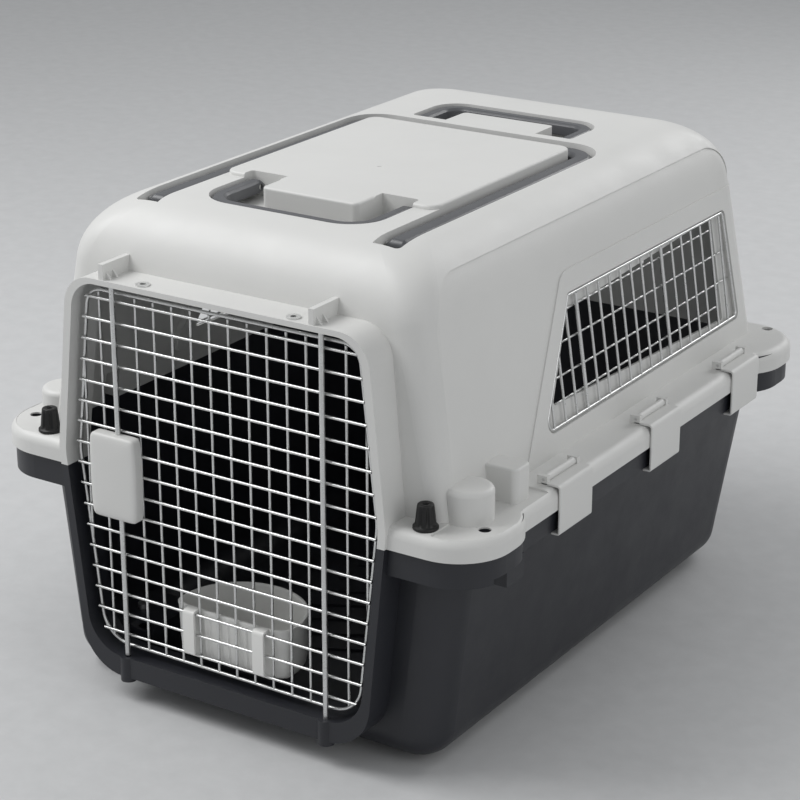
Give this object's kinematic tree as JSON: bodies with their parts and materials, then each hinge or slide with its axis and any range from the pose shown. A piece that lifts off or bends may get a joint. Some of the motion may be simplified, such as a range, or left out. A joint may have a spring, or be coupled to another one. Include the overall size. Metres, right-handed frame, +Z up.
{
  "type": "pet carrier",
  "caption": "Two-shell wheeled pet carrier with wire door and windows, clip-on bowl, carry handles, folding pull bar and side clips.",
  "frame": {"origin": "on the floor under the centre of the carrier's bounding box", "axes": "+X to the carrier's side that carries the door's hinge rod, -Y out of the door, +Z up"},
  "size_m": [0.526, 0.655, 0.464],
  "materials": {
    "shell_white": "fine satin texture",
    "shell_dark": "satin",
    "handle_grey": "satin",
    "knob_black": "semi-gloss",
    "wire_zinc": "bright zinc plate",
    "bowl_white": "satin",
    "wheel_grey": "matt",
    "plain_steel": "plain"
  },
  "bodies": {
    "carrier": {"upper_shell": "shell_white", "lower_shell": "shell_dark", "clip_pins": "plain_steel", "pull_bar_pins": "plain_steel", "front_handle_pins": "plain_steel", "rear_handle_pins": "plain_steel", "knob_bolts": "plain_steel", "ledge_eyelets": "wire_zinc", "grille_frame_left": "wire_zinc", "grille_uprights_left": "wire_zinc", "grille_crosswires_left": "wire_zinc", "grille_frame_right": "wire_zinc", "grille_uprights_right": "wire_zinc", "grille_crosswires_right": "wire_zinc", "caster_stud_left_front": "plain_steel", "caster_stud_left_rear": "plain_steel", "caster_stud_right_front": "plain_steel", "caster_stud_right_rear": "plain_steel"},
    "door": {"door_frame_wire": "wire_zinc", "door_uprights": "wire_zinc", "door_crosswires": "wire_zinc", "hinge_rod": "wire_zinc", "latch_cover": "shell_white", "latch_back": "shell_white", "latch_screws": "plain_steel", "latch_spring_upper": "plain_steel", "latch_spring_lower": "plain_steel"},
    "latch_upper": {"latch_rod_upper": "wire_zinc", "latch_slide_upper": "shell_white"},
    "latch_lower": {"latch_rod_lower": "wire_zinc", "latch_slide_lower": "shell_white"},
    "bowl": {"bowl": "bowl_white"},
    "pull_bar": {"pull_bar": "handle_grey"},
    "front_handle": {"front_handle": "handle_grey"},
    "rear_handle": {"rear_handle": "handle_grey"},
    "knob_left": {"knob_left": "knob_black"},
    "clip_left_front": {"clip_left_front": "shell_white"},
    "clip_left_middle": {"clip_left_middle": "shell_white"},
    "clip_left_rear": {"clip_left_rear": "shell_white"},
    "knob_right": {"knob_right": "knob_black"},
    "clip_right_front": {"clip_right_front": "shell_white"},
    "clip_right_middle": {"clip_right_middle": "shell_white"},
    "clip_right_rear": {"clip_right_rear": "shell_white"},
    "fork_left_front": {"caster_fork_left_front": "knob_black", "caster_axle_left_front": "plain_steel"},
    "wheel_left_front": {"caster_wheel_left_front": "wheel_grey"},
    "fork_left_rear": {"caster_fork_left_rear": "knob_black", "caster_axle_left_rear": "plain_steel"},
    "wheel_left_rear": {"caster_wheel_left_rear": "wheel_grey"},
    "fork_right_front": {"caster_fork_right_front": "knob_black", "caster_axle_right_front": "plain_steel"},
    "wheel_right_front": {"caster_wheel_right_front": "wheel_grey"},
    "fork_right_rear": {"caster_fork_right_rear": "knob_black", "caster_axle_right_rear": "plain_steel"},
    "wheel_right_rear": {"caster_wheel_right_rear": "wheel_grey"}
  },
  "joints": [
    {"name": "door_hinge", "type": "hinge", "parent": "carrier", "child": "door", "pos_m": [0.11, -0.31835, 0.2], "axis": [0, 0, 1], "range_deg": [0, 110]},
    {"name": "upper_latch_rod", "type": "slide", "parent": "door", "child": "latch_upper", "axis": [0, 0, 1], "range_m": [0, 0.004], "deforming": ["latch_spring_upper"]},
    {"name": "lower_latch_rod", "type": "slide", "parent": "door", "child": "latch_lower", "axis": [0, 0, -1], "range_m": [0, 0.004], "deforming": ["latch_spring_lower"]},
    {"name": "bowl_lift", "type": "slide", "parent": "door", "child": "bowl", "axis": [0, 0, 1], "range_m": [0, 0.009]},
    {"name": "pull_bar_hinge", "type": "hinge", "parent": "carrier", "child": "pull_bar", "pos_m": [0, -0.226, 0.451], "axis": [1, 0, 0], "range_deg": [0, 100]},
    {"name": "front_handle_hinge", "type": "hinge", "parent": "carrier", "child": "front_handle", "pos_m": [0, -0.146, 0.4525], "axis": [-1, 0, 0], "range_deg": [0, 95]},
    {"name": "rear_handle_hinge", "type": "hinge", "parent": "carrier", "child": "rear_handle", "pos_m": [0, 0.14, 0.4525], "axis": [1, 0, 0], "range_deg": [0, 95]},
    {"name": "knob_turn_left", "type": "hinge", "parent": "carrier", "child": "knob_left", "pos_m": [-0.202, -0.3035, 0.25], "axis": [0, 0, 1], "continuous": true},
    {"name": "clip_left_front_hinge", "type": "hinge", "parent": "carrier", "child": "clip_left_front", "pos_m": [-0.238, -0.143, 0.246], "axis": [0, 1, 0], "range_deg": [0, 95]},
    {"name": "clip_left_middle_hinge", "type": "hinge", "parent": "carrier", "child": "clip_left_middle", "pos_m": [-0.238, 0.028, 0.246], "axis": [0, 1, 0], "range_deg": [0, 95]},
    {"name": "clip_left_rear_hinge", "type": "hinge", "parent": "carrier", "child": "clip_left_rear", "pos_m": [-0.238, 0.199, 0.246], "axis": [0, 1, 0], "range_deg": [0, 95]},
    {"name": "knob_turn_right", "type": "hinge", "parent": "carrier", "child": "knob_right", "pos_m": [0.202, -0.3035, 0.25], "axis": [0, 0, 1], "continuous": true},
    {"name": "clip_right_front_hinge", "type": "hinge", "parent": "carrier", "child": "clip_right_front", "pos_m": [0.238, -0.143, 0.246], "axis": [0, -1, 0], "range_deg": [0, 95]},
    {"name": "clip_right_middle_hinge", "type": "hinge", "parent": "carrier", "child": "clip_right_middle", "pos_m": [0.238, 0.028, 0.246], "axis": [0, -1, 0], "range_deg": [0, 95]},
    {"name": "clip_right_rear_hinge", "type": "hinge", "parent": "carrier", "child": "clip_right_rear", "pos_m": [0.238, 0.199, 0.246], "axis": [0, -1, 0], "range_deg": [0, 95]},
    {"name": "caster_swivel_left_front", "type": "hinge", "parent": "carrier", "child": "fork_left_front", "pos_m": [-0.15, -0.246, 0.045], "axis": [0, 0, 1], "continuous": true},
    {"name": "wheel_spin_left_front", "type": "hinge", "parent": "fork_left_front", "child": "wheel_left_front", "pos_m": [-0.15, -0.234, 0.018], "axis": [1, 0, 0], "continuous": true},
    {"name": "caster_swivel_left_rear", "type": "hinge", "parent": "carrier", "child": "fork_left_rear", "pos_m": [-0.15, 0.216, 0.045], "axis": [0, 0, 1], "continuous": true},
    {"name": "wheel_spin_left_rear", "type": "hinge", "parent": "fork_left_rear", "child": "wheel_left_rear", "pos_m": [-0.15, 0.228, 0.018], "axis": [1, 0, 0], "continuous": true},
    {"name": "caster_swivel_right_front", "type": "hinge", "parent": "carrier", "child": "fork_right_front", "pos_m": [0.15, -0.246, 0.045], "axis": [0, 0, 1], "continuous": true},
    {"name": "wheel_spin_right_front", "type": "hinge", "parent": "fork_right_front", "child": "wheel_right_front", "pos_m": [0.15, -0.234, 0.018], "axis": [1, 0, 0], "continuous": true},
    {"name": "caster_swivel_right_rear", "type": "hinge", "parent": "carrier", "child": "fork_right_rear", "pos_m": [0.15, 0.216, 0.045], "axis": [0, 0, 1], "continuous": true},
    {"name": "wheel_spin_right_rear", "type": "hinge", "parent": "fork_right_rear", "child": "wheel_right_rear", "pos_m": [0.15, 0.228, 0.018], "axis": [1, 0, 0], "continuous": true}
  ]
}
